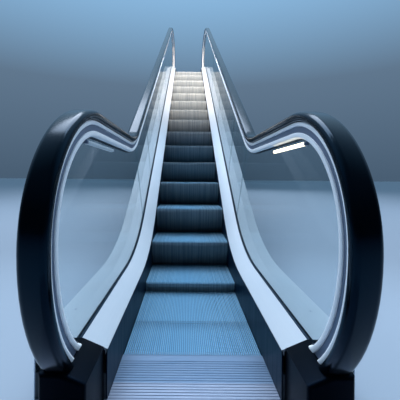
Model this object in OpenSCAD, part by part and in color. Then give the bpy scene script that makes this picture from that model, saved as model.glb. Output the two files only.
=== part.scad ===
// Glass-sided escalator, one narrow flight from the lower landing to the upper one.
// X is across, +Y runs up the flight from the lower comb, Z is up from the slab that the
// lower end stands on. The balustrade lines are concentric: one knee centre at each end.

/* [Steps] */
// Width of a step
step_w = 606; // [580:2:800]
// Spacing of the steps along their chain
step_pitch = 400; // [390:1:410]
// Running gap between one tread and the next riser
step_gap = 4; // [3:0.5:6]
// Thickness of a tread casting
tread_t = 30; // [24:1:36]
// Thickness of a riser casting
riser_t = 18; // [12:1:24]
// Depth of a step below its tread
step_h = 256; // [252:1:264]
// Spacing of the cleats across a step
cleat_pitch = 9.1; // [8.6:0.1:10]
// Thickness of a cleat
cleat_w = 3.4; // [3:0.1:4]
// Depth of the grooves between the cleats of a tread
groove_d = 10; // [8:0.5:12]

/* [Run] */
// Inclination of the flight
incline = 35; // [30:0.5:35]
// Radius of the steps' track where it leaves either landing
track_r = 1000; // [900:10:1200]
// Level run of the steps between a comb and the track's curve
level_run = 320; // [280:5:420]
// How far the first and last treads reach under the combs
comb_bite = 128; // [110:1:150]

/* [Landings] */
// Height of a landing's top above the underside of its frame
landing_h = 100; // [90:5:140]
// Length of a landing from the comb to its end
landing_l = 1500; // [1300:10:1800]
// Thickness of a floor plate
plate_t = 24; // [16:1:30]
// Depth of the comb plate from its teeth to the floor plate
comb_l = 190; // [160:5:240]
// Rise of the comb plate over the treads
comb_rise = 4; // [2:0.5:8]
// Thickness of a comb tooth
tooth_w = 3; // [2:0.1:3.6]
// Spacing of the ribs that run across the floor plates
rib_pitch = 14; // [12:0.5:18]

/* [Balustrade] */
// Distance between the handrails' centres
rail_gauge = 820; // [800:5:900]
// Top of the handrail above a landing
rail_h = 1040; // [1010:5:1100]
// Top of the glass gasket above a landing
deck_h = 217; // [205:1:240]
// Height of a skirt above a landing
skirt_h = 180; // [170:1:190]
// Radius of the handrail's top at the lower knee
rail_knee_r = 400; // [350:10:500]
// Level run of the handrail from the comb to the lower knee
rail_knee_y = 494; // [470:2:520]
// Radius of the gasket line at the upper knee
deck_knee_r = 1000; // [900:10:1200]
// Radius of the newel's upper front, over the handrail
newel_r = 440; // [420:5:460]
// Growth of that radius below the newel's foremost point
newel_grow = 160; // [120:5:170]
// How far in front of a comb the centre of a newel's upper front stands
newel_y = 146; // [120:2:200]
// Height of the handrail's return over a landing
return_h = 110; // [105:1:120]
// Thickness of the glass
glass_t = 10; // [8:1:14]
// Joint between two panes
glass_joint = 3; // [2:0.5:5]

/* [Handrail] */
// Width of the handrail
rail_w = 80; // [76:1:84]
// Thickness of the handrail
rail_t = 35; // [30:1:38]
// Depth of the handrail guide under the handrail
guide_h = 66; // [55:1:75]
// Width of the handrail guide
guide_w = 58; // [50:1:64]

/* [Base] */
// Overall width
base_w = 1130; // [1110:5:1200]
// Thickness of the sheet panels and decks
sheet_t = 4; // [3:0.5:6]
// Gap between a step and a skirt
skirt_gap = 4; // [2:0.5:5]
// Depth of the housing under the step noses, square to the flight
housing_d = 900; // [850:10:1050]
// Depth of the upper head under its landing
head_d = 1000; // [900:10:1100]

/* [Lamps] */
// Length of a lamp bar under the handrail guide
lamp_l = 380; // [300:10:400]
// Height of a lamp bar
lamp_h = 14; // [10:1:20]

/* [Hidden] */
step_count = 18;
$fn = 96;

// Small clearance where two pieces seat on each other, and a lap of one cut past another
seat = 0.3;
lap = 1;
base = landing_h;

// Lengths that draw a curve: a knee of a deck or of the steps' track, a knee of the handrail,
// a quarter and an eighth of a turn round a newel, a rounded corner of a cap
arc_steps = 14;
tight_steps = 6;
wide_steps = 8;
quarter_steps = 12;
eighth_steps = 6;
corner_steps = 6;

// Steps' path: level, concave curve, straight, convex curve, level
tread_d = step_pitch - step_gap;
path_l = step_count * step_pitch - 2 * comb_bite;
curve_l = track_r * incline * PI / 180;
straight_l = path_l - 2 * level_run - 2 * curve_l;
curve_y = track_r * sin(incline);
curve_z = track_r * (1 - cos(incline));
rise = straight_l * sin(incline) + 2 * curve_z;
comb_up_y = 2 * level_run + 2 * curve_y + straight_l * cos(incline);
nose_y = level_run + track_r * tan(incline / 2);

// Place of a step nose at a distance s along the path from the lower comb
function path_at(s) =
    s <= level_run ? [s, 0]
    : s <= level_run + curve_l
        ? let (a = (s - level_run) / track_r * 180 / PI)
          [level_run + track_r * sin(a), track_r * (1 - cos(a))]
    : s <= level_run + curve_l + straight_l
        ? let (t = s - level_run - curve_l)
          [level_run + curve_y + t * cos(incline), curve_z + t * sin(incline)]
    : s <= level_run + 2 * curve_l + straight_l
        ? let (a = (level_run + 2 * curve_l + straight_l - s) / track_r * 180 / PI)
          [comb_up_y - level_run - track_r * sin(a), rise - track_r * (1 - cos(a))]
    : [comb_up_y - path_l + s, rise];

// Marks along the path that draw its two curves
path_marks = concat(
    [-landing_l - step_pitch],
    [for (i = [0:arc_steps]) level_run + curve_l * i / arc_steps],
    [for (i = [0:arc_steps]) level_run + curve_l + straight_l + curve_l * i / arc_steps],
    [path_l + landing_l + step_pitch]
);

// Balustrade lines: n is the height over the lower landing on its level part
rail_centre_z = rail_h + rail_knee_r;
low_knee = [rail_knee_y, rail_centre_z];
deck_low_r = rail_centre_z - deck_h;
deck_low_end = [low_knee[0] + deck_low_r * sin(incline), low_knee[1] - deck_low_r * cos(incline)];
deck_corner_y = deck_low_end[0] + (rise + deck_h - deck_low_end[1]) / tan(incline);
up_knee = [deck_corner_y + deck_knee_r * tan(incline / 2), rise + deck_h - deck_knee_r];
up_knee_drop = rise - up_knee[1];
deck_up_start = [up_knee[0] - deck_knee_r * sin(incline), up_knee[1] + deck_knee_r * cos(incline)];
bal_straight = norm(deck_up_start - deck_low_end);

// Newel: a quarter turn, a turn on the larger radius low_r, and a turn on back_r into the
// return. An upright length comes between the first two where the drop exceeds low_r.
newel_z = rail_h - newel_r;
newel_up_y = comb_up_y + newel_y;
newel_c = [-newel_y, newel_z];
low_r = newel_r + newel_grow;
back_share = (49 / 60 - sin(45)) / (1 - sin(45));
back_r = low_r * back_share;
newel_upright = max(0, newel_z - return_h - low_r);
low_c = newel_c + [newel_grow, -newel_upright];
low_turn = asin((low_c[1] - return_h - back_r) / (low_r - back_r));
back_turn = 90 - low_turn;
back_c = low_c - (low_r - back_r) * [cos(low_turn), sin(low_turn)];

// Front of the handrail at a height over the landing, below the newel's foremost point
function newel_front_y(z) = low_c[1] - z <= low_r * sin(low_turn)
    ? low_c[0] - sqrt(low_r * low_r - (low_c[1] - z) * (low_c[1] - z))
    : back_c[0] - sqrt(back_r * back_r - (back_c[1] - z) * (back_c[1] - z));

function bal_line(n, y0, y1) = concat(
    [[y0, n]],
    [for (i = [0:arc_steps]) let (a = incline * i / arc_steps)
        low_knee + (low_knee[1] - n) * [sin(a), -cos(a)]],
    [for (i = [0:arc_steps]) let (a = incline * (1 - i / arc_steps))
        up_knee + (n + up_knee_drop) * [-sin(a), cos(a)]],
    [[y1, rise + n]]
);

// Joint between two lengths of a deck, a channel or a guide
section_joint = 0.5;

// Widths, from the middle outwards
skirt_x = step_w / 2 + skirt_gap;
rail_x = rail_gauge / 2;
glass_x = rail_x - glass_t / 2;
seal_in = 12;
seal_out = 6;
cap_gap = 12;
cap_cheek = 8;
channel_x = glass_x - seal_in;
outer_x = glass_x + glass_t + seal_out + seat;
clad_x = base_w / 2;
cap_x = skirt_x + cap_gap;
cap_out_x = rail_x + rail_w / 2 + cap_cheek;

// Decks: fall of the outer one and depth of the inner one's edge, depth of the outer one's
// fold, lap of the inner one over the skirt and its set below the sheet
deck_fall = 6;
deck_fold = 26;
deck_lap = 20;
deck_lap_t = 3;

// Channel that holds the glass: depth of the glass in it, clearances round the return
glass_bed = 40;
return_gap = 8;
beam_gap = 15;
channel_foot = return_h + rail_t + return_gap;

// Lamp bars: thickness, drop below the guide, and start in front of the newel's centre
lamp_t = 14;
lamp_drop = 19;
lamp_front = 104;

// Ends of the decks and of the newel caps, in front of the comb
cap_rise = 4;
cap_top = deck_h + cap_rise;
cap_wall = 5;
cap_end = round(cap_wall - newel_front_y(cap_top));
cap_l = 186;
deck_end = cap_end - cap_l;
cap_round = 14;
slot_gap = 2;
plate_joint = 2;
plate_gap = 1;
plate_foot = comb_rise - plate_t;
comb_lip = 40;
comb_ledge = comb_l - comb_lip;
beam_n = return_h - beam_gap;

// Cleats, counted so that one ends a step on either side
cleat_count = round(step_w / cleat_pitch);
cleat_step = (step_w - cleat_w) / (cleat_count - 1);
flute_d = 4;

// Comb teeth: reach past the comb line, root behind it, dip into the grooves, thickness of a tip
tooth_reach = 8;
tooth_root = 20;
tooth_dip = 5;
tooth_tip = 1.5;
comb_slope = 30;
comb_under = 4;

// Ribs across the comb plate and the floor plate
rib_groove = 5;
rib_d = 1.2;
rib_start = 60;

// Webs under a step
web_t = 14;
web_in = 40;
web_back = 6;
web_bite = 1;

// Upper bearing angle
bracket_t = 20;
bracket_l = 150;
bracket_h = 200;
bracket_drop = 30;

// Housing outline
step_foot = [tread_d * (1 - cos(asin(step_h / tread_d))), -step_h];
soffit_drop = housing_d / cos(incline);
soffit_low_y = nose_y + (soffit_drop - base) / tan(incline);
soffit_up_y = nose_y + (soffit_drop + rise - head_d) / tan(incline);
pan_t = 20;
pan_z = pan_t - base;

// Where the line that the steps' feet follow leaves the pan
foot_leave_z = pan_z + seat + step_h;
foot_leave_y = foot_leave_z <= curve_z
    ? level_run + track_r * sin(acos(1 - foot_leave_z / track_r))
    : level_run + curve_y + (foot_leave_z - curve_z) / tan(incline);

// The line that the steps' feet follow, from the pan to the upper comb's ledge
function foot_line(drop) = concat(
    [[foot_leave_y + step_foot[0], foot_leave_z - step_h - drop]],
    [for (s = path_marks) let (p = path_at(s) + step_foot - [0, drop])
        if (p[1] > pan_z + seat && p[0] < comb_up_y + comb_ledge) p],
    [[comb_up_y + comb_ledge, rise - step_h - drop]]
);

// Glass
pane_count = 5;
glass_foot_n = deck_h - glass_bed + seat;
guide_foot_n = rail_h - rail_t - guide_h;
guide_grip = 20;
glass_top_n = guide_foot_n + guide_grip;

// Handrail: radii of its crown and lips, half widths of its mouth and groove
rail_crown_r = 18;
rail_lip_r = 12;
rail_lip = 16;
rail_lip_t = 3;
rail_groove = 22;
groove_h = 17;
tongue_gap = 2;

// Right half of the guide's section, as (distance from its centre, n), from the glass's slot
// down to the foot, out over a pale band, a recess and a ridge, and up into the handrail.
// Marks are heights over the foot, as shares of the guide's depth.
guide_marks = [0, 0.07, 0.12, 0.36, 0.73, 0.93, 0.96];
guide_edge = 2;
foot_lip = 5;
foot_in = 4;
band_in = 2;
recess_in = 6;
function mark(i) = guide_foot_n + guide_marks[i] * guide_h;
guide_half = [
    [glass_t / 2 + seat, glass_top_n + seat],
    [glass_t / 2 + seat, mark(0)],
    [glass_t / 2 + foot_lip, mark(0)],
    [guide_w / 2 - foot_in, mark(1)],
    [guide_w / 2 - band_in, mark(2)],
    [guide_w / 2 - band_in, mark(3)],
    [guide_w / 2 - recess_in, mark(3) + guide_edge],
    [guide_w / 2 - recess_in, mark(4)],
    [guide_w / 2, mark(4) + guide_edge],
    [guide_w / 2, mark(5)],
    [guide_w / 2 - guide_edge, mark(6)],
    [rail_lip - tongue_gap, mark(6)],
    [rail_lip - tongue_gap, rail_h - rail_t + rail_lip_t + tongue_gap],
    [rail_groove - tongue_gap, rail_h - rail_t + rail_lip_t + tongue_gap],
    [rail_groove - tongue_gap, rail_h - rail_t + groove_h - seat]
];

// Half of the handrail's section, as (distance from its centre, depth from its top)
rail_half = concat(
    [[0, 0]],
    [for (a = [0:45:90]) [rail_w / 2 - rail_crown_r * (1 - sin(a)), rail_crown_r * (1 - cos(a))]],
    [for (a = [0:90:90]) [rail_w / 2 - rail_lip_r * (1 - cos(a)), rail_t - rail_lip_r * (1 - sin(a))]],
    [[rail_lip, rail_t], [rail_lip, rail_t - rail_lip_t], [rail_groove, rail_t - rail_lip_t],
     [rail_groove, rail_t - groove_h]]
);
rail_ring = concat(rail_half, [for (i = [len(rail_half) - 1:-1:1]) [-rail_half[i][0], rail_half[i][1]]]);

// Stations round the handrail's loop: [y, z, direction in which its top faces]
function turn(c, r, from, to, n, first = 0) =
    [for (i = [first:n]) let (a = from + (to - from) * i / n) [c[0] + r * cos(a), c[1] + r * sin(a), a]];
function flip(list) = [for (p = list) [p[0], p[1], p[2] + 180]];
newel_stations = concat(
    back_turn > 0 ? turn(back_c, back_r, 270, 180 + low_turn, eighth_steps) : [],
    turn(low_c, low_r, 180 + low_turn, 180, eighth_steps, back_turn > 0 ? 1 : 0),
    turn(newel_c, newel_r, 180, 90, quarter_steps, newel_upright > 0 ? 0 : 1)
);
rail_loop = concat(
    flip(turn(low_knee, rail_knee_r, -90, incline - 90, tight_steps)),
    turn(up_knee, rail_h + up_knee_drop, incline + 90, 90, wide_steps),
    [for (i = [len(newel_stations) - 1:-1:0]) let (p = newel_stations[i])
        [comb_up_y - p[0], rise + p[1], 180 - p[2]]],
    flip(turn(up_knee, return_h + up_knee_drop, 90, incline + 90, tight_steps)),
    turn(low_knee, low_knee[1] - return_h, incline - 90, -90, wide_steps),
    newel_stations
);

// Sides
module left() {
    mirror([1, 0, 0]) children();
}

// Turns a side view, drawn as (y, z), into a slab between two widths
module slab(x0, x1) {
    translate([x0, 0, 0]) rotate([90, 0, 90]) linear_extrude(x1 - x0) children();
}

// Sweeps a section, drawn as (x, n), along the balustrade from y0 to y1, in three lengths:
// the lower curve, the straight and the upper curve
module sweep(y0, y1) {
    translate([0, low_knee[0], 0]) rotate([90, 0, 0])
        linear_extrude(low_knee[0] - y0) children();
    translate([0, low_knee[0], low_knee[1]]) rotate([0, 90, 0])
        rotate_extrude(angle = incline) translate([low_knee[1], 0]) rotate(90) children();
    translate([0, low_knee[0], low_knee[1]]) rotate([incline, 0, 0])
        translate([0, bal_straight - section_joint, -low_knee[1]]) rotate([90, 0, 0])
            linear_extrude(bal_straight - 2 * section_joint) children();
    translate([0, up_knee[0], up_knee[1]]) rotate([180, -90, 0])
        rotate_extrude(angle = incline) translate([up_knee_drop, 0]) mirror([1, -1]) children();
    translate([0, y1, rise]) rotate([90, 0, 0])
        linear_extrude(y1 - up_knee[0]) children();
}

// Turns a section, drawn as (radius, x), about a centre in the side view. The turn starts at
// the given angle from upright and goes forwards and down.
module turned(c, from, angle) {
    translate([0, c[0], c[1]]) rotate([180, -90, 0]) rotate([0, 0, from])
        rotate_extrude(angle = angle) children();
}

// Turns a section, drawn as (x, n), round the lower newel and on into the return
module newel_turn() {
    turned(newel_c, 0, 90) translate([-newel_z, 0]) mirror([1, -1]) children();
    if (newel_upright > 0)
        translate([0, -newel_y, low_c[1]]) linear_extrude(newel_upright)
            translate([0, newel_z]) mirror([0, 1]) children();
    turned(low_c, 90, low_turn) translate([newel_grow - newel_z, 0]) mirror([1, -1]) children();
    if (back_turn > 0)
        turned(back_c, 90 + low_turn, back_turn)
            translate([back_r - newel_r - newel_z, 0]) mirror([1, -1]) children();
}

// Points of an arc; the first one is left out unless first is 0
function arc(c, r, from, to, n, first = 1) =
    [for (i = [first:n]) let (a = from + (to - from) * i / n) c + r * [cos(a), sin(a)]];

// The lower newel's line at n over the landing, from its top to the return
function newel_line(n) = concat(
    [[-newel_y, n]],
    arc(newel_c, n - newel_z, 90, 180, quarter_steps),
    newel_upright > 0 ? [low_c - [n - newel_z + newel_grow, 0]] : [],
    arc(low_c, n - newel_z + newel_grow, 180, 180 + low_turn, eighth_steps),
    back_turn > 0
        ? arc(back_c, n - newel_z + back_r - newel_r, 180 + low_turn, 270, eighth_steps) : []
);

// Repeats a part of the lower end at the upper end
module both_ends() {
    children();
    upper_end() children();
}

module upper_end() {
    translate([0, comb_up_y, rise]) mirror([0, 1, 0]) children();
}

// Steps: a cleated tread, a fluted riser turned about the tread's rear edge, and two webs
function cleat_x(i) = -step_w / 2 + i * cleat_step;
function cleats(foot, groove, top) = concat(
    [[-step_w / 2, foot]],
    [for (i = [0:cleat_count - 1]) for (k = [0:3])
        [cleat_x(i) + (k < 2 ? 0 : cleat_w), k == 0 || k == 3 ? groove : top]],
    [[step_w / 2, foot]]
);

function flutes(foot, groove, top) = concat(
    [[-step_w / 2, foot], [-step_w / 2, top]],
    [for (i = [0:cleat_count - 2]) for (k = [0, 1])
        k == 0 ? [cleat_x(i) + cleat_w, top] : [cleat_x(i) + (cleat_w + cleat_step) / 2, groove]],
    [[step_w / 2, top], [step_w / 2, foot]]
);

function riser_point(r, h) = let (a = asin(h / tread_d)) [tread_d - r * cos(a), -r * sin(a)];

module step_web(h) {
    polygon([
        [riser_t / 2, -tread_t / 2 - groove_d / 2], [tread_d - web_back, -tread_t / 2 - groove_d / 2],
        [tread_d - web_back, -tread_t], riser_point(tread_d - riser_t + web_bite, h),
        riser_point(tread_d - riser_t / 2, h), riser_point(tread_d - riser_t / 2, (h + tread_t) / 2)
    ]);
}

module escalator_step(k) {
    nose = path_at((k - 1) * step_pitch - comb_bite);
    h = min(step_h, nose[1] - pan_z - seat);
    top_a = asin((tread_t + section_joint) / tread_d);
    color("slategray") translate([0, nose[0], base + nose[1]]) {
        translate([0, tread_d, 0]) rotate([90, 0, 0])
            linear_extrude(tread_d) polygon(cleats(-tread_t, -groove_d, 0));
        turned([tread_d, 0], 90 + top_a, asin(h / tread_d) - top_a) mirror([1, -1])
            polygon(flutes(tread_d - riser_t, tread_d - flute_d, tread_d));
        for (x = [-step_w / 2 + web_in, step_w / 2 - web_in - web_t])
            slab(x, x + web_t) step_web(h);
    }
}

// Landings. The top of a plate is ribbed: its line runs from -y0 to -y1.
function ribbed(y0, y1) = [
    for (i = [0:floor((y1 - y0) / rib_pitch) - 1]) for (k = [0:3])
        [-y0 - i * rib_pitch - (k < 2 ? 0 : rib_groove) - rib_groove,
         comb_rise - (k == 0 || k == 3 ? 0 : rib_d)]
];

module comb_side() {
    polygon(concat(
        [[tooth_reach, -tooth_dip], [tooth_reach, tooth_tip - tooth_dip], [-comb_slope, comb_rise]],
        ribbed(rib_start, comb_l),
        [[-comb_l, comb_rise], [-comb_l, plate_foot], [-comb_ledge + comb_under, plate_foot],
         [-comb_bite - step_gap - comb_under, seat], [-tooth_root, seat], [-tooth_root, -tooth_dip]]
    ));
}

// Comb plate in plan: one tooth for each groove of a step
module comb_plan() {
    half = skirt_x - plate_gap;
    tooth_in = (cleat_step + cleat_w - tooth_w) / 2;
    polygon(concat(
        [[-half, -comb_l], [-half, -tooth_root]],
        [for (i = [0:cleat_count - 2]) for (k = [0:3])
            [cleat_x(i) + tooth_in + (k < 2 ? 0 : tooth_w),
             k == 0 || k == 3 ? -tooth_root : tooth_reach]],
        [[half, -tooth_root], [half, -comb_l]]
    ));
}

module comb_lower() {
    color("silver") translate([0, 0, base]) intersection() {
        slab(-skirt_x, skirt_x) comb_side();
        translate([0, 0, -plate_t]) linear_extrude(2 * plate_t) comb_plan();
    }
}

// Two lift-out plates over the landing, and a filler outside each newel cap
module plate_area(x0, x1, y0, y1) {
    translate([x0, y0]) square([x1 - x0, y1 - y0]);
}

module floor_side() {
    polygon(concat(
        [[-comb_l + rib_pitch, plate_foot], [-comb_l + rib_pitch, comb_rise]],
        ribbed(comb_l, landing_l),
        [[-landing_l, comb_rise], [-landing_l, plate_foot]]
    ));
}

module floor_plate_lower() {
    edge = clad_x - sheet_t - seat;
    color("gainsboro") translate([0, 0, base]) intersection() {
        slab(-clad_x, clad_x) floor_side();
        translate([0, 0, -2 * plate_t]) linear_extrude(3 * plate_t) {
            if (deck_end > comb_l)
                plate_area(-skirt_x + plate_gap, skirt_x - plate_gap,
                    -deck_end - lap, -comb_l - seat);
            plate_area(-cap_x + plate_gap, cap_x - plate_gap, -cap_end - plate_joint - lap,
                -max(deck_end, comb_l + seat));
            plate_area(-edge, edge, -landing_l, -cap_end - plate_joint);
            for (side = [0, 1]) mirror([side, 0])
                plate_area(cap_out_x + plate_gap, edge, -cap_end, -deck_end - plate_joint);
        }
    }
}

// Skirts and decks
module skirt() {
    foot = foot_line(0);
    color("midnightblue") translate([0, 0, base]) slab(skirt_x, skirt_x + sheet_t)
        polygon(concat(
            bal_line(skirt_h, -deck_end, comb_up_y + deck_end),
            [[comb_up_y + deck_end, rise + plate_foot], [comb_up_y + comb_ledge, rise + plate_foot]],
            [for (i = [len(foot) - 1:-1:0]) foot[i]],
            [[seat - comb_ledge, pan_z + seat], [seat - comb_ledge, plate_foot], [-deck_end, plate_foot]]
        ));
}

module inner_deck_section() {
    lap_x = skirt_x + sheet_t + seat;
    fold_x = channel_x - seat;
    polygon([
        [skirt_x, skirt_h + seat], [fold_x, deck_h],
        [fold_x, deck_h - deck_fold], [fold_x - sheet_t, deck_h - deck_fold],
        [fold_x - sheet_t, deck_h - sheet_t - deck_lap_t],
        [lap_x + sheet_t, skirt_h - deck_lap_t], [lap_x + sheet_t, skirt_h - deck_lap],
        [lap_x, skirt_h - deck_lap], [lap_x, skirt_h + seat]
    ]);
}

module inner_deck() {
    color("whitesmoke") translate([0, 0, base])
        sweep(-deck_end, comb_up_y + deck_end) inner_deck_section();
}

module glass_channel_section() {
    glass_out_x = glass_x + glass_t;
    polygon([
        [channel_x, channel_foot], [channel_x, deck_h], [glass_x - seat, deck_h],
        [glass_x - seat, deck_h - glass_bed], [glass_out_x + seat, deck_h - glass_bed],
        [glass_out_x + seat, deck_h], [glass_out_x + seal_out, deck_h],
        [glass_out_x + seal_out, channel_foot]
    ]);
}

module glass_channel() {
    color([0.07, 0.07, 0.08]) translate([0, 0, base])
        sweep(-deck_end, comb_up_y + deck_end) glass_channel_section();
}

module outer_deck_section() {
    polygon([
        [outer_x, deck_h], [clad_x, deck_h - deck_fall], [clad_x, deck_h - deck_fall - sheet_t],
        [outer_x + sheet_t, deck_h - sheet_t], [outer_x + sheet_t, deck_h - deck_fold],
        [outer_x, deck_h - deck_fold]
    ]);
}

module outer_deck() {
    color("whitesmoke") translate([0, 0, base])
        sweep(-deck_end, comb_up_y + deck_end) outer_deck_section();
}

// Glass, its joints square to the flight
module glass_section() {
    translate([glass_x, glass_foot_n]) square([glass_t, glass_top_n - glass_foot_n]);
}

module glass() {
    line = [for (p = newel_line(glass_top_n)) if (p[0] <= -newel_y) p];
    color([0.75, 0.88, 0.92, 0.35]) translate([0, 0, base]) difference() {
        union() {
            sweep(-newel_y, newel_up_y) glass_section();
            both_ends() slab(glass_x, glass_x + glass_t)
                polygon(concat(line, [[-newel_y, line[len(line) - 1][1]]]));
        }
        for (i = [0:pane_count - 2]) pane_joint(bal_straight * (i + 0.5) / (pane_count - 1));
    }
}

module pane_joint(t) {
    translate([0, low_knee[0], low_knee[1]]) rotate([incline, 0, 0])
        translate([glass_x - glass_t, t - glass_joint / 2, -2 * low_knee[1]])
            cube([3 * glass_t, glass_joint, 3 * low_knee[1]]);
}

// Handrail guide: grips the glass and fills the handrail's groove
module guide_section() {
    polygon([for (side = [0, 1]) for (i = [0:len(guide_half) - 1])
        side == 0 ? [rail_x + guide_half[i][0], guide_half[i][1]]
        : let (p = guide_half[len(guide_half) - 1 - i]) [rail_x - p[0], p[1]]]);
}

module handrail_guide() {
    color("lightsteelblue") translate([0, 0, base]) {
        sweep(-newel_y, newel_up_y) guide_section();
        both_ends() difference() {
            newel_turn() guide_section();
            translate([0, -cap_end, 0]) cube([clad_x, cap_end, cap_top + seat]);
        }
    }
}

// Handrail: one loop that returns under the decks
module handrail() {
    points = [for (p = rail_loop) for (q = rail_ring)
        [rail_x + q[0], p[0] - q[1] * cos(p[2]), p[1] - q[1] * sin(p[2])]];
    n = len(rail_ring);
    m = len(rail_loop);
    faces = [for (i = [0:m - 1]) for (j = [0:n - 1])
        [i * n + j, i * n + (j + 1) % n, ((i + 1) % m) * n + (j + 1) % n, ((i + 1) % m) * n + j]];
    color([0.05, 0.06, 0.07]) translate([0, 0, base]) polyhedron(points, faces);
}

// Newel caps: the moulded boxes that the handrail runs into, which carry on the decks' section
module cap_section() {
    slope = (deck_h - skirt_h) / (channel_x - skirt_x);
    polygon([
        [cap_x, plate_foot], [cap_x, skirt_h + slope * (cap_x - skirt_x) + cap_rise],
        [channel_x, cap_top], [outer_x, cap_top],
        [cap_out_x, cap_top - deck_fall * (cap_out_x - outer_x) / (clad_x - outer_x)],
        [cap_out_x, plate_foot]
    ]);
}

module cap_plan() {
    polygon(concat(
        [[cap_out_x, -deck_end - seat], [cap_x, -deck_end - seat]],
        arc([cap_x + cap_round, cap_round - cap_end], cap_round, 180, 270, corner_steps, 0),
        arc([cap_out_x - cap_round, cap_round - cap_end], cap_round, 270, 360, corner_steps, 0)
    ));
}

module newel_cap() {
    line = concat(newel_line(rail_h + slot_gap), [[0, return_h - slot_gap]]);
    inner = concat(newel_line(rail_h - rail_t - slot_gap), [[0, return_h + rail_t + slot_gap]]);
    color([0.1, 0.1, 0.11]) translate([0, 0, base]) difference() {
        intersection() {
            rotate([90, 0, 0]) linear_extrude(cap_end) cap_section();
            translate([0, 0, plate_foot]) linear_extrude(cap_top - plate_foot) cap_plan();
        }
        slab(rail_x - rail_w / 2 - slot_gap, rail_x + rail_w / 2 + slot_gap)
            polygon(concat(line, [for (i = [len(inner) - 1:-1:0]) inner[i]]));
        slab(glass_x - seat, glass_x + glass_t + seat) polygon(newel_line(glass_top_n + seat));
    }
}

// Lamp bars on the inner face of the glass, under the guide
module lamp() {
    top = guide_foot_n - lamp_drop;
    color("ivory") translate([glass_x - lamp_t - seat, -newel_y - lamp_front, base + top - lamp_h])
        cube([lamp_t, lamp_l, lamp_h]);
}

// Cladding and housing
module housing_side(top) {
    polygon(concat(top, [
        [comb_up_y + landing_l, rise - head_d],
        [soffit_up_y, rise - head_d],
        [soffit_low_y, -base],
        [-landing_l, -base]
    ]));
}

module side_cladding() {
    color("gainsboro") translate([0, 0, base]) slab(clad_x - sheet_t, clad_x)
        housing_side(end_to_end(deck_h - deck_fall - sheet_t - seat, comb_rise));
}

// A top line at n over the decks, which steps down to z over the landings
function end_to_end(n, z) = concat(
    [[-landing_l, z], [-deck_end, z]],
    bal_line(n, -deck_end, comb_up_y + deck_end),
    [[comb_up_y + deck_end, rise + z], [comb_up_y + landing_l, rise + z]]
);

// Closed housing under the steps, between the side beams
module housing() {
    color("dimgray") translate([0, 0, base]) slab(-skirt_x - sheet_t, skirt_x + sheet_t)
        housing_side(concat(
            [[-landing_l, plate_foot - seat], [-comb_ledge, plate_foot - seat], [-comb_ledge, pan_z]],
            foot_line(seat),
            [[comb_up_y + comb_ledge, rise + plate_foot - seat],
             [comb_up_y + landing_l, rise + plate_foot - seat]]
        ));
}

// Side beam between a skirt and the cladding, which carries the decks and the handrail's return
module side_beam() {
    color("dimgray") translate([0, 0, base])
        slab(skirt_x + sheet_t + seat, clad_x - sheet_t - seat)
            housing_side(end_to_end(beam_n, plate_foot - seat));
}

// Bearing angle that sits on the edge of the upper floor
module upper_bracket() {
    color("gray") translate([0, comb_up_y + landing_l, base + rise])
        slab(-clad_x, clad_x) polygon([
            [seat, -bracket_h - bracket_drop], [bracket_t, -bracket_h - bracket_drop],
            [bracket_t, -bracket_t - bracket_drop], [bracket_l, -bracket_t - bracket_drop],
            [bracket_l, -bracket_drop], [seat, -bracket_drop]
        ]);
}

escalator_step(1);  // step_01
escalator_step(2);  // step_02
escalator_step(3);  // step_03
escalator_step(4);  // step_04
escalator_step(5);  // step_05
escalator_step(6);  // step_06
escalator_step(7);  // step_07
escalator_step(8);  // step_08
escalator_step(9);  // step_09
escalator_step(10);  // step_10
escalator_step(11);  // step_11
escalator_step(12);  // step_12
escalator_step(13);  // step_13
escalator_step(14);  // step_14
escalator_step(15);  // step_15
escalator_step(16);  // step_16
escalator_step(17);  // step_17
escalator_step(18);  // step_18
comb_lower();
upper_end() comb_lower();  // comb_upper
floor_plate_lower();
upper_end() floor_plate_lower();  // floor_plate_upper
left() skirt();  // skirt_left
skirt();  // skirt_right
left() inner_deck();  // inner_deck_left
inner_deck();  // inner_deck_right
left() glass_channel();  // glass_channel_left
glass_channel();  // glass_channel_right
left() outer_deck();  // outer_deck_left
outer_deck();  // outer_deck_right
left() glass();  // glass_left
glass();  // glass_right
left() handrail_guide();  // handrail_guide_left
handrail_guide();  // handrail_guide_right
left() handrail();  // handrail_left
handrail();  // handrail_right
left() newel_cap();  // newel_cap_lower_left
newel_cap();  // newel_cap_lower_right
left() upper_end() newel_cap();  // newel_cap_upper_left
upper_end() newel_cap();  // newel_cap_upper_right
left() lamp();  // lamp_left
lamp();  // lamp_right
left() side_cladding();  // side_cladding_left
side_cladding();  // side_cladding_right
housing();
left() side_beam();  // side_beam_left
side_beam();  // side_beam_right
upper_bracket();
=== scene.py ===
from math import cos, pi, radians, sin, tan

import bmesh
import bpy
from mathutils import Matrix, Vector


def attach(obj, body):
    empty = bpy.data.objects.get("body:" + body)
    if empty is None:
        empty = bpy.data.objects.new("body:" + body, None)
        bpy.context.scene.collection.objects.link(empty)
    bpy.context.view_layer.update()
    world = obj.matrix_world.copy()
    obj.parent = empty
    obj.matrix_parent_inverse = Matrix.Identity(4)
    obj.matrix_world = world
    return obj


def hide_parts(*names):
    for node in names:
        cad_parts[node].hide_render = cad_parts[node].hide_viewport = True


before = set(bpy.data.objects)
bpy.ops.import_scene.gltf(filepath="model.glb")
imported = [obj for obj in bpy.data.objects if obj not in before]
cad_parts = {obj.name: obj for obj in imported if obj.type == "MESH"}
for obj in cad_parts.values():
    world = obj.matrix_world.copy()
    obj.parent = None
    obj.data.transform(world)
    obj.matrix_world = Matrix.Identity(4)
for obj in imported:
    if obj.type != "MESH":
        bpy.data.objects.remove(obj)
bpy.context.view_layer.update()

# The photograph's frame, in pixels: a level camera with a little shift and roll
IMAGE = 400
FOCAL = 281
VANISHING_X = 186.1
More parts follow.
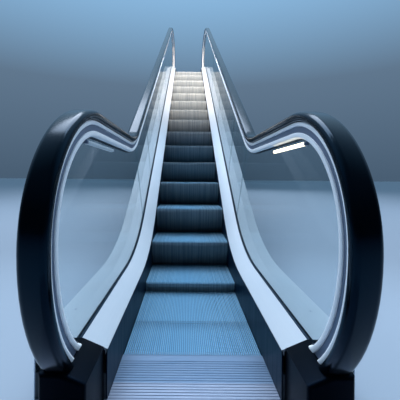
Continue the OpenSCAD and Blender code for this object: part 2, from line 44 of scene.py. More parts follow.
HORIZON_Y = 175.7
ROLL = radians(-0.5)
SENSOR_MM = 36
EYE = Vector((-0.0355, -1.260, 0.893))

# The flight, in metres, as the construction has it
LANDING = 0.100
INCLINE = radians(35)
STEP_PITCH = 0.400
STEP_COUNT = 18
STEP_HALF = 0.303
TRACK_R = 1.000
LEVEL_RUN = 0.320
COMB_BITE = 0.128
CLEAT_W = 0.0034
CLEAT_GAPS = 66
CLEAT_PITCH = (2 * STEP_HALF - CLEAT_W) / CLEAT_GAPS
RIB_PITCH = 0.014
RIB_GROOVE = 0.005
RIBS_FROM_COMB = 0.058

# The balustrade: distances from the middle of the flight, and heights over a landing
SIDES = (("left", -1), ("right", 1))
RAIL_H = 1.040
RAIL_X = 0.410
RAIL_HALF = 0.040
RAIL_T = 0.035
RAIL_UNDER = RAIL_H - RAIL_T
GUIDE_H = 0.066
GUIDE_FOOT = RAIL_UNDER - GUIDE_H
DECK_H = 0.217
DECK_FALL = 0.006
SKIRT_H = 0.180
SKIRT_X = 0.307
GLASS_IN = 0.405
GLASS_OUT = 0.415
CLAD_X = 0.565
CAP_X = 0.319
CAP_OUT = 0.458
CAP_PROUD = 0.004
CAP_FOOT = -0.020
RETURN_H = 0.110
LAMP_FOOT = 0.906
LAMP_TOP = 0.920

# Places along the flight, from a comb's line out over its landing, and in to the knee
DECK_END = 0.270
CAP_END = 0.456
SCREW_OUT = 0.047
NEWEL_OUT = 0.146
RAIL_KNEE_Y = 0.494

# Radii of the handrail's newel and lower knee, and of the decks' upper knee
NEWEL_R = 0.440
NEWEL_GROW = 0.160
RAIL_KNEE_R = 0.400
DECK_KNEE_R = 1.000

CURVE = TRACK_R * INCLINE
STRAIGHT = STEP_COUNT * STEP_PITCH - 2 * (COMB_BITE + LEVEL_RUN + CURVE)
RISE = STRAIGHT * sin(INCLINE) + 2 * TRACK_R * (1 - cos(INCLINE))
COMB_UP_Y = 2 * (LEVEL_RUN + TRACK_R * sin(INCLINE)) + STRAIGHT * cos(INCLINE)

# The knees' centres, which all lines share: the handrail sets the lower one, the decks the upper
LOW_KNEE = Vector((0, RAIL_KNEE_Y, LANDING + RAIL_H + RAIL_KNEE_R))
deck_reach = LOW_KNEE.z - LANDING - DECK_H
deck_leave = LOW_KNEE + deck_reach * Vector((0, sin(INCLINE), -cos(INCLINE)))
deck_corner_y = deck_leave.y + (LANDING + RISE + DECK_H - deck_leave.z) / tan(INCLINE)
UP_KNEE = Vector((0, deck_corner_y + DECK_KNEE_R * tan(INCLINE / 2),
                  LANDING + RISE + DECK_H - DECK_KNEE_R))
UPHILL = Vector((0, cos(INCLINE), sin(INCLINE)))
RUN = (UP_KNEE - LOW_KNEE).dot(UPHILL)

# The lower newel's centres: its upper front, its lower front and the return under it
NEWEL_C = Vector((0, -NEWEL_OUT, LANDING + RAIL_H - NEWEL_R))
LOW_C = NEWEL_C + Vector((0, NEWEL_GROW, 0))
low_r = NEWEL_R + NEWEL_GROW
BACK_R = (RAIL_H - NEWEL_R - low_r * sin(pi / 4) - RETURN_H) / (1 - sin(pi / 4))
BACK_C = LOW_C - (low_r - BACK_R) * Vector((0, cos(pi / 4), sin(pi / 4)))

# How many faces round each arc, and how far the guide's strips turn into the return
KNEE_STEPS = 18
NEWEL_STEPS = 28
LOW_STEPS = 12
BACK_STEPS = 8
GUIDE_TURN = 0.40

# The gap between pieces, and how close two places are to count as one: in a search, in a weld
GAP = 0.0003
NEAR = 0.001
WELD = 0.00001


def paint(red, green, blue):
    """A colour as it looks on a screen, from 0 to 255, as the shader wants it."""
    def linear(v):
        v = v / 255
        return v / 12.92 if v <= 0.04045 else ((v + 0.055) / 1.055) ** 2.4
    return (linear(red), linear(green), linear(blue), 1)


class Value:
    """A number that varies over a surface; Python's operators on it add Math nodes."""

    def __init__(self, finish, socket):
        self.finish = finish
        self.socket = socket

    def math(self, operation, *inputs):
        """One Math node on the inputs."""
        return self.finish.add("ShaderNodeMath", {"operation": operation}, dict(enumerate(inputs)))

    def __add__(self, other):
        return self.math("ADD", self, other)

    def __radd__(self, other):
        return self.math("ADD", other, self)

    def __sub__(self, other):
        return self.math("SUBTRACT", self, other)

    def __rsub__(self, other):
        return self.math("SUBTRACT", other, self)

    def __mul__(self, other):
        return self.math("MULTIPLY", self, other)

    def __rmul__(self, other):
        return self.math("MULTIPLY", other, self)

    def __mod__(self, other):
        return self.math("FLOORED_MODULO", self, other)

    def __gt__(self, other):
        return self.math("GREATER_THAN", self, other)

    def __lt__(self, other):
        return self.math("LESS_THAN", self, other)

    def __abs__(self):
        return self.math("ABSOLUTE", self)

    def fade(self, low, high):
        """0 below low, 1 above high, smooth between."""
        settings = {"interpolation_type": "SMOOTHSTEP"}
        inputs = {"Value": self, "From Min": low, "From Max": high}
        return self.finish.add("ShaderNodeMapRange", settings, inputs)


class Finish:
    """A material in the making: its Principled shader and the one way to add any other node."""

    def __init__(self, name, **sockets):
        self.material = bpy.data.materials.new(name)
        self.material.use_nodes = True
        self.nodes = self.material.node_tree.nodes
        self.shader = self.nodes["Principled BSDF"]
        for socket, value in sockets.items():
            self.feed(socket.replace("_", " "), value)
        self.place = self.add("ShaderNodeTexCoord", out="Object")

    def add(self, kind, settings=None, inputs=None, out=0):
        """Adds a node with its settings, then the values or links of its sockets."""
        node = self.nodes.new(kind)
        for name, value in (settings or {}).items():
            setattr(node, name, value)
        for name, value in (inputs or {}).items():
            self.fill(node.inputs[name], value)
        return Value(self, node.outputs[out])

    def fill(self, socket, value):
        """Sets a socket to a plain value, or links it to a Value."""
        if isinstance(value, Value):
            self.material.node_tree.links.new(value.socket, socket)
        else:
            socket.default_value = value

    def feed(self, socket, value):
        """Sets or links a socket of the Principled shader."""
        self.fill(self.shader.inputs[socket], value)

    def axes(self, vector=None):
        """The X, Y and Z of a vector, or of the place on the object."""
        split = self.add("ShaderNodeSeparateXYZ", None, {0: vector or self.place})
        return [Value(self, output) for output in split.socket.node.outputs]

    def noise(self, scale, detail=2.0):
        """Noise from 0 to 1 with so many blotches a metre along X, Y and Z."""
        stretched = self.add("ShaderNodeVectorMath", {"operation": "MULTIPLY"},
                             {0: self.place, 1: scale})
        return self.add("ShaderNodeTexNoise", None,
                        {"Vector": stretched, "Scale": 1.0, "Detail": detail})

    def blend(self, factor, first, second):
        """The first colour where the factor is 0, the second where it is 1."""
        settings = {"data_type": "RGBA", "blend_type": "MIX"}
        return self.add("ShaderNodeMix", settings, {0: factor, 6: first, 7: second}, out=2)

    def bump(self, height, distance, strength=1.0):
        """Raises the surface by a height from 0 to 1, times a distance in metres."""
        inputs = {"Height": height, "Distance": distance, "Strength": strength}
        self.feed("Normal", self.add("ShaderNodeBump", None, inputs))


def tread_casting():
    """Cast steps: blue-grey treads, dark grooves, a painted shade at the back of each tread, and
    risers with a painted shade that darkens them towards the foot.
    """
    m = Finish("tread_casting", Metallic=0.3)
    across = m.axes()[0]
    inside = m.axes(m.add("ShaderNodeTexCoord", out="Generated"))
    up = m.axes(m.add("ShaderNodeNewGeometry", out="Normal"))[2].fade(0.5, 0.9)
    wear = m.noise((3, 3, 3), 4)
    scratches = m.noise((220, 6, 6), 3)
    streaks = m.noise((90, 3, 1), 2).fade(0.4, 0.6)
    groove = ((across + STEP_HALF) % CLEAT_PITCH) > CLEAT_W
    top = m.blend(wear, paint(104, 160, 196), paint(122, 174, 204))
    top = m.blend(groove * 0.6, top, paint(46, 90, 122))
    # Painted shade: the back of each tread, next to the riser above it, is darkened
    top = m.blend(inside[1].fade(0.7, 1.0) * 0.35, top, paint(30, 62, 88))
    riser = m.blend(scratches, paint(170, 184, 190), paint(204, 212, 214))
    riser = m.blend(groove * 0.3 + streaks * 0.3, riser, paint(78, 100, 116))
    # Painted shade: each riser darkens from its top down to its foot
    foot = 1 - inside[2].fade(0.0, 1.0)
    m.feed("Base Color", m.blend(up, m.blend(foot * 0.75, riser, paint(34, 54, 66)), top))
    m.feed("Roughness", 0.38 + 0.2 * scratches)
    return m.material


def ribbed_alloy(name, dark, pale, shade, start):
    """Alloy plates with ribs across the flight, counted out from the comb at either end."""
    m = Finish(name, Metallic=0.6)
    along = m.axes()[1]
    out = along.math("MINIMUM", along, COMB_UP_Y - along)
    streaks = m.noise((14, 300, 14), 3)
    # Painted shade: the grooves between the ribs are darkened towards the shade colour
    groove = (((out - start) % RIB_PITCH) > RIB_PITCH - RIB_GROOVE) * (out < -RIBS_FROM_COMB)
    m.feed("Base Color", m.blend(groove * 0.3, m.blend(streaks, dark, pale), shade))
    m.feed("Roughness", 0.3 + 0.2 * streaks)
    return m.material


def comb_alloy():
    """The comb plates, a little bluer than the floor plates."""
    return ribbed_alloy("comb_alloy", paint(110, 140, 170), paint(140, 160, 184),
                        paint(80, 104, 136), 0.005)


def ribbed_plate():
    """The floor plates over the landings."""
    return ribbed_alloy("ribbed_plate", paint(140, 156, 178), paint(174, 182, 200),
                        paint(96, 114, 142), 0.001)


def brushed_deck():
    """Brushed steel decks, the grain running along the flight."""
    m = Finish("brushed_deck", Metallic=0.15)
    grain = m.noise((900, 4, 4), 3)
    cloud = m.noise((2.5, 2.5, 2.5), 3)
    pale = m.blend(cloud, paint(180, 190, 198), paint(196, 201, 206))
    m.feed("Base Color", m.blend(grain * 0.35, pale, paint(154, 169, 182)))
    m.feed("Roughness", 0.42 + 0.16 * grain)
    m.bump(grain, 0.00004)
    return m.material


def skirt_coat():
    """Dark low-friction coating on the skirts, with faint upright scuffs."""
    m = Finish("skirt_coat", Specular_IOR_Level=0.2)
    scuffs = m.noise((8, 60, 3), 4)
    m.feed("Base Color", m.blend(scuffs, paint(0, 18, 34), paint(2, 27, 46)))
    m.feed("Roughness", 0.3 + 0.25 * scuffs)
    return m.material


def black_gasket():
    """Matt rubber at the foot of the glass and under the guide, a little dusty."""
    m = Finish("black_gasket")
    dust = m.noise((60, 60, 60), 2)
    m.feed("Base Color", m.blend(dust, paint(10, 32, 48), paint(20, 48, 68)))
    m.feed("Roughness", 0.5 + 0.2 * dust)
    return m.material


def clear_glass():
    """Toughened glass: see-through faces with a gloss on the near side, and teal edges."""
    edge, film = 0.14, 0.02
    m = Finish("clear_glass", Roughness=0.02, IOR=1.5)
    face = abs(m.axes(m.add("ShaderNodeNewGeometry", out="Normal"))[0]).fade(0.4, 0.6)
    m.feed("Base Color", m.blend(face, paint(120, 176, 186), paint(26, 44, 52)))
    through = m.add("ShaderNodeBsdfTransparent", None, {"Color": (0.93, 0.97, 0.98, 1)})
    near = 1 - m.add("ShaderNodeNewGeometry", out="Backfacing")
    gloss = m.add("ShaderNodeFresnel", None, {"IOR": 1.45}) * near
    solid = edge + face * (gloss - (edge - film))
    glass = Value(m, m.shader.outputs[0])
    mixed = m.add("ShaderNodeMixShader", None, {0: solid, 1: through, 2: glass})
    m.fill(m.nodes["Material Output"].inputs["Surface"], mixed)
    return m.material


def recess_alloy():
    """Darker alloy in the guide's channel, the lamps' end caps and the deck screws."""
    m = Finish("recess_alloy", Metallic=0.3, Roughness=0.35)
    cloud = m.noise((3, 3, 3), 2)
    m.feed("Base Color", m.blend(cloud, paint(94, 108, 130), paint(112, 124, 144)))
    return m.material


def guide_alloy():
    """Pale satin alloy of the guide's bands."""
    m = Finish("guide_alloy", Metallic=0.1)
    cloud = m.noise((3, 3, 3), 2)
    m.feed("Base Color", m.blend(cloud, paint(236, 242, 246), paint(246, 248, 250)))
    m.feed("Roughness", 0.32 + 0.06 * cloud)
    return m.material


def handrail_rubber():
    """Black handrail, polished by hands, with a blue sheen."""
    m = Finish("handrail_rubber", Specular_IOR_Level=0.4, Specular_Tint=paint(110, 180, 228))
    cloud = m.noise((12, 12, 12), 3)
    m.feed("Base Color", m.blend(cloud, paint(1, 3, 6), paint(2, 6, 11)))
    m.feed("Roughness", 0.14 + 0.08 * cloud)
    return m.material


def cap_moulding():
    """Black moulded plastic with a fine grain."""
    m = Finish("cap_moulding", IOR=1.2, Specular_Tint=paint(90, 160, 230))
    grain = m.noise((700, 700, 700), 2)
    m.feed("Base Color", m.blend(grain, paint(1, 2, 4), paint(3, 5, 9)))
    m.feed("Roughness", 0.36 + 0.1 * grain)
    m.bump(grain, 0.00012, 0.5)
    return m.material


def lamp_lens(name, colour, strength):
    """A lens that glows in its own colour."""
    m = Finish(name, Roughness=0.4)
    m.feed("Base Color", colour)
    m.feed("Emission Color", colour)
    m.feed("Emission Strength", strength)
    return m.material


def steel_sheet():
    """Steel sheet of the side cladding, its grain level."""
    m = Finish("steel_sheet", Metallic=0.6)
    grain = m.noise((4, 4, 700), 3)
    m.feed("Base Color", m.blend(grain, paint(168, 184, 200), paint(196, 208, 220)))
    m.feed("Roughness", 0.32 + 0.16 * grain)
    return m.material


def frame_paint():
    """Grey paint on the housing, the beams and the bearing angle."""
    m = Finish("frame_paint")
    cloud = m.noise((6, 6, 6), 3)
    m.feed("Base Color", m.blend(cloud, paint(58, 66, 74), paint(76, 84, 92)))
    m.feed("Roughness", 0.5 + 0.2 * cloud)
    return m.material


def upper(place):
    """The same place at the upper end."""
    return Vector((place.x, COMB_UP_Y - place.y, RISE + place.z))


def end_name(at_top):
    """The word for an end in a piece's name."""
    return "upper" if at_top else "lower"


def move_to_top(bm):
    """Turns a shape at the lower end into its mirror image at the upper one."""
    for v in bm.verts:
        v.co = upper(v.co)


def loop(points, rounded=(), radius=0.0, segments=4):
    """A bmesh with one closed section, drawn as (x, height over the landing), at Y = 0."""
    bm = bmesh.new()
    verts = [bm.verts.new((x, 0, LANDING + n)) for x, n in points]
    face = bm.faces.new(verts)
    if rounded:
        bmesh.ops.bevel(bm, geom=[verts[i] for i in rounded], offset=radius, affect="VERTICES",
                        segments=segments, profile=0.5, material=-1)
        face = bm.faces[:][0]
    bmesh.ops.delete(bm, geom=[face], context="FACES_ONLY")
    return bm


def edges_of(geom):
    """The edges among a bmesh operator's results."""
    return [e for e in geom if isinstance(e, bmesh.types.BMEdge)]


class Sweep:
    """Draws a section along the balustrade; each stroke goes on from the last ring."""

    def __init__(self, bm, start_y):
        self.bm = bm
        self.first = bm.edges[:]
        self.ring = bm.verts[:] + self.first
        bmesh.ops.translate(bm, vec=(0, start_y, 0), verts=bm.verts[:])

    def wind(self, centre, angle):
        """Turns the first ring back about a centre, to start inside a newel."""
        matrix = Matrix.Rotation(angle, 3, "X")
        bmesh.ops.rotate(self.bm, cent=centre, matrix=matrix, verts=self.bm.verts[:])

    def line(self, step):
        """Draws the last ring straight on by a step."""
        out = bmesh.ops.extrude_edge_only(self.bm, edges=edges_of(self.ring))["geom"]
        verts = [v for v in out if isinstance(v, bmesh.types.BMVert)]
        bmesh.ops.translate(self.bm, vec=step, verts=verts)
        new = set(verts)
        self.ring = verts + [e for e in edges_of(out) if new.issuperset(e.verts)]

    def turn(self, centre, angle, steps):
        """Draws the last ring round a centre; an angle over 0 turns +Y towards +Z."""
        out = bmesh.ops.spin(self.bm, geom=self.ring, cent=centre, axis=(1, 0, 0), angle=angle,
                             steps=steps, use_duplicate=False)
        self.ring = out["geom_last"]

    def close_ends(self):
        """Caps the first ring and the last."""
        for edges in (self.first, edges_of(self.ring)):
            bmesh.ops.contextual_create(self.bm, geom=edges)


def flight(sweep, start_y, end_y):
    """From start_y by the lower landing over both knees to end_y by the upper one."""
    sweep.line((0, LOW_KNEE.y - start_y, 0))
    sweep.turn(LOW_KNEE, INCLINE, KNEE_STEPS)
    sweep.line(RUN * UPHILL)
    sweep.turn(UP_KNEE, -INCLINE, KNEE_STEPS)
    sweep.line((0, end_y - UP_KNEE.y, 0))


def newel_down(sweep, last=pi / 4):
    """Over the upper newel and down it, as far into the return as last says."""
    sweep.turn(upper(NEWEL_C), -pi / 2, NEWEL_STEPS)
    sweep.turn(upper(LOW_C), -pi / 4, LOW_STEPS)
    sweep.turn(upper(BACK_C), -last, BACK_STEPS)


def newel_up(sweep, first=pi / 4):
    """Up the lower newel, from as far into the return as first says."""
    sweep.turn(BACK_C, -first, BACK_STEPS)
    sweep.turn(LOW_C, -pi / 4, LOW_STEPS)
    sweep.turn(NEWEL_C, -pi / 2, NEWEL_STEPS)


def finish_piece(bm, name, material, replaces=(), crease=35):
    """Makes a bmesh a piece on the root body, smooth up to a crease in degrees."""
    bmesh.ops.remove_doubles(bm, verts=bm.verts[:], dist=WELD)
    bmesh.ops.recalc_face_normals(bm, faces=bm.faces[:])
    mesh = bpy.data.meshes.new(name)
    bm.to_mesh(mesh)
    bm.free()
    mesh.shade_smooth()
    mesh.set_sharp_from_angle(angle=radians(crease))
    mesh.materials.append(material)
    piece = bpy.data.objects.new(name, mesh)
    bpy.context.scene.collection.objects.link(piece)
    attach(piece, "root")
    if replaces:
        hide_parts(*replaces)
    return piece


def on_side(points, side):
    """A section for the right side, mirrored for the left one."""
    return [(side * x, n) for x, n in points]


def symmetric(half):
    """The right half of a section about the handrail's centre, and its mirror image."""
    return ([(RAIL_X + d, n) for d, n in half]
            + [(RAIL_X - d, n) for d, n in reversed(half)])


def make_handrail(name, side):
    """A C-shaped handrail with rounded shoulders and lips, in one loop with its return."""
    mouth, slot_half, lip = 0.016, 0.022, 0.003
    slot_top, shoulder_r, lip_r = RAIL_H - 0.018, 0.019, 0.0118
    half = [(RAIL_HALF, RAIL_H), (RAIL_HALF, RAIL_UNDER), (mouth, RAIL_UNDER),
            (mouth, RAIL_UNDER + lip), (slot_half, RAIL_UNDER + lip), (slot_half, slot_top)]
    points = on_side(symmetric(half), side)
    bm = loop(points, rounded=(0, len(points) - 1), radius=shoulder_r, segments=8)
    lips = [v for v in bm.verts if abs(abs(v.co.x) - RAIL_X) > RAIL_HALF - NEAR
            and v.co.z < LANDING + RAIL_UNDER + NEAR]
    bmesh.ops.bevel(bm, geom=lips, offset=lip_r, affect="VERTICES", segments=6, profile=0.5,
                    material=-1)
    sweep = Sweep(bm, NEWEL_C.y)
    flight(sweep, NEWEL_C.y, upper(NEWEL_C).y)
    newel_down(sweep)
    sweep.line((0, UP_KNEE.y - upper(BACK_C).y, 0))
    sweep.turn(UP_KNEE, INCLINE, KNEE_STEPS)
    sweep.line(-RUN * UPHILL)
    sweep.turn(LOW_KNEE, -INCLINE, KNEE_STEPS)
    sweep.line((0, BACK_C.y - LOW_KNEE.y, 0))
    newel_up(sweep)
    finish_piece(bm, "handrail_loop_" + name, rubber, ["handrail_" + name])


def make_along_guide(piece_name, points, side, material, replaces=()):
    """A strip that follows the guide from inside the lower cap to inside the upper one."""
    sweep = Sweep(loop(on_side(points, side)), NEWEL_C.y)
    sweep.wind(NEWEL_C, pi / 2)
    sweep.wind(LOW_C, pi / 4)
    sweep.wind(BACK_C, GUIDE_TURN)
    newel_up(sweep, GUIDE_TURN)
    flight(sweep, NEWEL_C.y, upper(NEWEL_C).y)
    newel_down(sweep, GUIDE_TURN)
    sweep.close_ends()
    finish_piece(sweep.bm, piece_name, material, replaces)


def make_guide(name, side):
    """The guide's strips from its foot up: band, recess, ridge and neck, and the glass's seals."""
    foot = GUIDE_FOOT
    band = [(0.0055, foot + 0.019), (0.0055, foot + 0.002), (0.012, foot + 0.001),
            (0.022, foot + 0.0035), (0.0262, foot + 0.007), (0.027, foot + 0.010),
            (0.027, foot + 0.0225), (0.0262, foot + 0.0238), (0.0225, foot + 0.0243)]
    make_along_guide("guide_band_" + name, symmetric(band), side, alloy,
                     ["handrail_guide_" + name])
    web = [(0.0225, foot + 0.0242), (0.0225, foot + 0.0478), (0.014, foot + 0.0478),
           (0.014, foot + 0.0242)]
    make_along_guide("guide_recess_" + name, symmetric(web), side, recess)
    ridge = [(0.0225, foot + 0.0475), (0.0275, foot + 0.0482), (0.0288, foot + 0.050),
             (0.029, foot + 0.0535), (0.029, foot + 0.0595), (0.0278, foot + 0.0625),
             (0.025, foot + 0.0634), (0.014, foot + 0.0634), (0.014, foot + 0.0475)]
    make_along_guide("guide_ridge_" + name, symmetric(ridge), side, alloy)
    neck = [(0.014, foot + 0.0474), (0.014, foot + 0.0712), (0.006, foot + 0.0712),
            (0.006, foot + 0.0474)]
    make_along_guide("guide_neck_" + name, symmetric(neck), side, gasket)
    for place, x0, x1 in (("in", -0.0085, -0.0052), ("out", 0.0052, 0.0085)):
        strip = [(RAIL_X + x0, foot + 0.006), (RAIL_X + x0, foot - 0.0035),
                 (RAIL_X + x1, foot - 0.0035), (RAIL_X + x1, foot + 0.006)]
        make_along_guide("guide_seal_%s_%s" % (place, name), strip, side, gasket)


def make_deck(piece_name, points, side, material, replaces):
    """A strip that follows the decks from one landing to the other."""
    sweep = Sweep(loop(on_side(points, side)), -DECK_END)
    flight(sweep, -DECK_END, COMB_UP_Y + DECK_END)
    sweep.close_ends()
    finish_piece(sweep.bm, piece_name, material, [replaces])


def make_decks(name, side):
    """Both decks with their folded edges, and the gaskets that hold the glass between them."""
    edge, gasket_depth = 0.0065, 0.030
    inner = [(SKIRT_X, SKIRT_H), (SKIRT_X + 0.0012, SKIRT_H + 0.0016),
             (GLASS_IN - 0.0077, DECK_H + 0.0001), (GLASS_IN - edge, DECK_H - 0.001),
             (GLASS_IN - edge, DECK_H - 0.005), (SKIRT_X + 0.0083, SKIRT_H - 0.004),
             (SKIRT_X + 0.0083, SKIRT_H - 0.020), (SKIRT_X, SKIRT_H - 0.003)]
    make_deck("inner_deck_sheet_" + name, inner, side, steel, "inner_deck_" + name)
    outer = [(GLASS_OUT + 0.0025, DECK_H - 0.007), (GLASS_OUT + 0.0025, DECK_H - 0.001),
             (GLASS_OUT + 0.0035, DECK_H), (CLAD_X - 0.002, DECK_H - DECK_FALL),
             (CLAD_X, DECK_H - 0.008), (CLAD_X, DECK_H - 0.010)]
    make_deck("outer_deck_sheet_" + name, outer, side, steel, "outer_deck_" + name)
    near = [(GLASS_IN - 0.0063, DECK_H - gasket_depth), (GLASS_IN - 0.0063, DECK_H - 0.001),
            (GLASS_IN - 0.005, DECK_H + 0.0012), (GLASS_IN - 0.002, DECK_H + 0.0035),
            (GLASS_IN - 0.0004, DECK_H + 0.0045), (GLASS_IN - 0.0004, DECK_H - gasket_depth)]
    make_deck("glass_gasket_in_" + name, near, side, gasket,
              "glass_channel_" + name)
    far = [(GLASS_OUT + 0.0004, DECK_H - gasket_depth), (GLASS_OUT + 0.0004, DECK_H + 0.0015),
           (GLASS_OUT + 0.0022, DECK_H), (GLASS_OUT + 0.0022, DECK_H - gasket_depth)]
    make_deck("glass_gasket_out_" + name, far, side, gasket,
              "glass_channel_" + name)


def make_screw(name, side, at_top):
    """A low round head with a socket, let into an outer deck near its end."""
    x, head_r = 0.506, 0.0045
    rim, ring, socket = (0.0008, 0.0005), (0.0014, 0.0), (0.0002, -0.0012)
    bm = bmesh.new()
    bmesh.ops.create_circle(bm, cap_ends=True, segments=24, radius=head_r)
    head = bm.faces[:]
    for thickness, depth in (rim, ring, socket):
        bmesh.ops.inset_individual(bm, faces=head, thickness=thickness, depth=depth)
    fall = DECK_FALL * (x - GLASS_OUT) / (CLAD_X - GLASS_OUT)
    place = Vector((side * x, -SCREW_OUT, LANDING + DECK_H - fall))
    bmesh.ops.translate(bm, vec=place, verts=bm.verts[:])
    if at_top:
        move_to_top(bm)
    finish_piece(bm, "deck_screw_%s_%s" % (end_name(at_top), name), recess)


def make_cap(name, side, at_top):
    """A moulded newel cap: the decks' section, a little proud, with rounded edges all round."""
    shoulder, top, outer_top = 0.1893, DECK_H + CAP_PROUD, DECK_H + 0.0024
    front_r, rim_r = 0.014, 0.0035
    section = [(CAP_X, CAP_FOOT), (CAP_X, shoulder), (GLASS_IN - 0.012, top),
               (GLASS_OUT + 0.006, top), (CAP_OUT, outer_top), (CAP_OUT, CAP_FOOT)]
    sweep = Sweep(loop(on_side(section, side)), -DECK_END - GAP)
    sweep.line((0, DECK_END - CAP_END, 0))
    sweep.close_ends()
    bm = sweep.bm
    front = [e for e in bm.edges if max(v.co.y for v in e.verts) < -CAP_END + NEAR
             and max(v.co.z for v in e.verts) > LANDING]
    bmesh.ops.bevel(bm, geom=front, offset=front_r, affect="EDGES", segments=5, profile=0.5,
                    material=-1)
    rim = [e for e in bm.edges if min(v.co.y for v in e.verts) > -DECK_END - NEAR
           and max(v.co.z for v in e.verts) > LANDING]
    bmesh.ops.bevel(bm, geom=rim, offset=rim_r, affect="EDGES", segments=3, profile=0.5,
                    material=-1)
    if at_top:
        move_to_top(bm)
    end = end_name(at_top)
    finish_piece(bm, "cap_shell_%s_%s" % (end, name), moulding,
                 ["newel_cap_%s_%s" % (end, name)], crease=30)


def make_lamp_bar(piece_name, side, ends, depth, proud, soft_r, material, replaces=()):
    """One bar of a lamp, against the inner face of the glass, its far edges rounded."""
    start, end = ends
    foot, top = LAMP_FOOT + LANDING, LAMP_TOP + LANDING
    face = GLASS_IN - GAP
    bm = bmesh.new()
    bmesh.ops.create_cube(bm, size=1)
    bmesh.ops.scale(bm, vec=(depth, end - start, top - foot + 2 * proud), verts=bm.verts[:])
    centre = Vector((side * (face - depth / 2), (start + end) / 2, (foot + top) / 2))
    bmesh.ops.translate(bm, vec=centre, verts=bm.verts[:])
    soft = [e for e in bm.edges if all(abs(v.co.x) < face - depth * 0.9 for v in e.verts)
            and abs(e.verts[0].co.y - e.verts[1].co.y) > NEAR]
    bmesh.ops.bevel(bm, geom=soft, offset=soft_r, affect="EDGES", segments=5, profile=0.5,
                    material=-1)
    finish_piece(bm, piece_name, material, replaces)


def make_lamp(name, side, glow, glow_slot):
    """A lamp under the guide: a rounded lens, a metal back and two end caps."""
    start, end, cap, inset = -0.250, 0.130, 0.012, 0.004
    make_lamp_bar("lamp_lens_" + name, side, (start + cap, end - cap), 0.0135, 0.0, 0.0048,
                  glow, ["lamp_" + name])
    make_lamp_bar("lamp_back_" + name, side, (start + inset, end - inset), 0.005, 0.0006, 0.001,
                  alloy)
    for place, ends in (("low", (start, start + cap)), ("high", (end - cap, end))):
        make_lamp_bar("lamp_end_%s_%s" % (place, name), side, ends, 0.014, 0.0004, 0.0048,
                      recess)


def make_floor():
    """The plain floor that the unit stands on, which isn't part of it."""
    bm = bmesh.new()
    bmesh.ops.create_grid(bm, x_segments=1, y_segments=1, size=60)
    mesh = bpy.data.meshes.new("floor")
    bm.to_mesh(mesh)
    bm.free()
    plane = bpy.data.objects.new("floor", mesh)
    bpy.context.scene.collection.objects.link(plane)
    m = Finish("pale_floor", Roughness=0.6)
    m.feed("Base Color", paint(150, 162, 174))
    mesh.materials.append(m.material)


def make_light(name, place, target, size, power, colour, spread=180, glossy=False):
    """A square lamp that the camera doesn't see, nor the gloss unless glossy says so."""
    data = bpy.data.lights.new(name, "AREA")
    data.spread = radians(spread)
    data.size = size
    data.energy = power
    data.color = colour[:3]
    lamp = bpy.data.objects.new(name, data)
    bpy.context.scene.collection.objects.link(lamp)
    lamp.location = place
    lamp.visible_camera = False
    lamp.visible_glossy = glossy
    lamp.rotation_euler = (Vector(target) - Vector(place)).to_track_quat("-Z", "Y").to_euler()


def make_lights():
    """Soft boxes over, behind and beside the flight, a warm one up it and a cool one down it."""
    cool = paint(232, 240, 255)
    make_light("overhead", (-0.8, 2.6, 7.5), (0, 2.4, 0), 5, 480, cool, glossy=True)
    make_light("rear", (2, 15, 8), (0, 7, 2), 5, 900, cool)
    for name, side in SIDES:
        make_light(name, (9 * side, 3, 4), (0, 4, 1.5), 4, 260, paint(220, 234, 255))
    make_light("landing", (0, 0.5, 4), (0, 7, 3.2), 1.2, 140, paint(255, 230, 210), spread=80)
    make_light("flight", (0, 2.6, 3), (0, -0.6, 0.6), 1.2, 56, paint(220, 236, 255), spread=100)


def make_world():
    """Cool light from ahead and above, darker to the horizon and dark behind the camera."""
    world = bpy.data.worlds.new("studio")
    bpy.context.scene.world = world
    world.use_nodes = True
    tree = world.node_tree
    sky = tree.nodes["Background"]
    place = tree.nodes.new("ShaderNodeTexCoord")
    split = tree.nodes.new("ShaderNodeSeparateXYZ")
    ramp = tree.nodes.new("ShaderNodeValToRGB")
    ahead = tree.nodes.new("ShaderNodeMapRange")
    tree.links.new(place.outputs["Generated"], split.inputs[0])
    tree.links.new(split.outputs["Z"], ramp.inputs[0])
    tree.links.new(ramp.outputs[0], sky.inputs["Color"])
    tree.links.new(split.outputs["Y"], ahead.inputs["Value"])
    tree.links.new(ahead.outputs[0], sky.inputs["Strength"])
    stops = ramp.color_ramp.elements
    stops[0].position, stops[0].color = 0.0, paint(70, 90, 110)
    stops[1].position, stops[1].color = 0.8, paint(176, 218, 250)
    for position, colour in ((0.3, paint(92, 114, 136)), (0.52, paint(130, 172, 208))):
        stops.new(position).color = colour
    for socket, value in (("From Min", -0.5), ("From Max", 0.3),
                          ("To Min", 0.16), ("To Max", 1.1)):
        ahead.inputs[socket].default_value = value


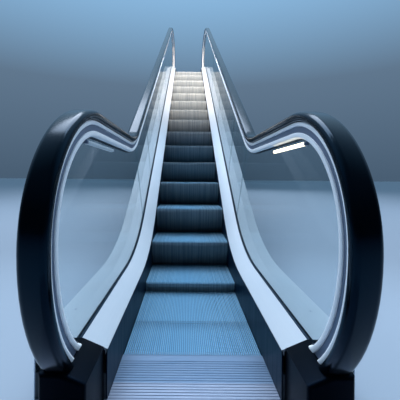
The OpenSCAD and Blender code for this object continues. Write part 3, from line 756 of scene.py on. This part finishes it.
def make_camera():
    """The photograph's view."""
    data = bpy.data.cameras.new("camera")
    data.sensor_width = SENSOR_MM
    data.lens = FOCAL * SENSOR_MM / IMAGE
    data.shift_x = (IMAGE / 2 - VANISHING_X) / IMAGE
    data.shift_y = (HORIZON_Y - IMAGE / 2) / IMAGE
    data.clip_start = 0.05
    camera = bpy.data.objects.new("camera", data)
    bpy.context.scene.collection.objects.link(camera)
    camera.location = EYE
    camera.rotation_euler = (pi / 2, ROLL, 0)
    bpy.context.scene.camera = camera


rubber = handrail_rubber()
alloy = guide_alloy()
steel = brushed_deck()
gasket = black_gasket()
recess = recess_alloy()
moulding = cap_moulding()
lit = lamp_lens("lit_lens", paint(255, 240, 205), 3.0)
# The unlit lens has a faint painted glow in place of the light falling on it
unlit_painted_glow = lamp_lens("unlit_lens", paint(150, 168, 180), 0.2)
glass = clear_glass()
grey = frame_paint()

# A node takes the finish of the longest key that its name starts with
FINISHES = {
    "step_": (tread_casting(), "step_casting"),
    "comb_": (comb_alloy(), "comb_plate"),
    "floor_plate_": (ribbed_plate(), "floor_plate"),
    "skirt_": (skirt_coat(), "skirt_panel"),
    "inner_deck_": (steel, "deck_steel"),
    "outer_deck_": (steel, "deck_steel"),
    "glass_": (glass, "clear_glass"),
    "glass_channel_": (gasket, "gasket_black"),
    "handrail_": (rubber, "handrail_rubber"),
    "handrail_guide_": (alloy, "guide_aluminium"),
    "newel_cap_": (moulding, "cap_plastic"),
    "lamp_right": (lit, "lamp_lit"),
    "lamp_left": (unlit_painted_glow, "lamp_unlit"),
    "side_cladding_": (steel_sheet(), "cladding_steel"),
    "housing": (grey, "housing_paint"),
    "side_beam_": (grey, "housing_paint"),
    "upper_bracket": (grey, "bracket_paint"),
}

for name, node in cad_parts.items():
    start = max((key for key in FINISHES if name.startswith(key)), key=len)
    material, slot = FINISHES[start]
    node.data.materials.clear()
    node.data.materials.append(material)

for side_name, side_sign in SIDES:
    make_handrail(side_name, side_sign)
    make_guide(side_name, side_sign)
    make_decks(side_name, side_sign)
    make_lamp(side_name, side_sign, *FINISHES["lamp_" + side_name])
    for top in (False, True):
        make_cap(side_name, side_sign, top)
        make_screw(side_name, side_sign, top)

make_floor()
make_lights()
make_world()
make_camera()
bpy.context.scene.view_settings.view_transform = "Standard"
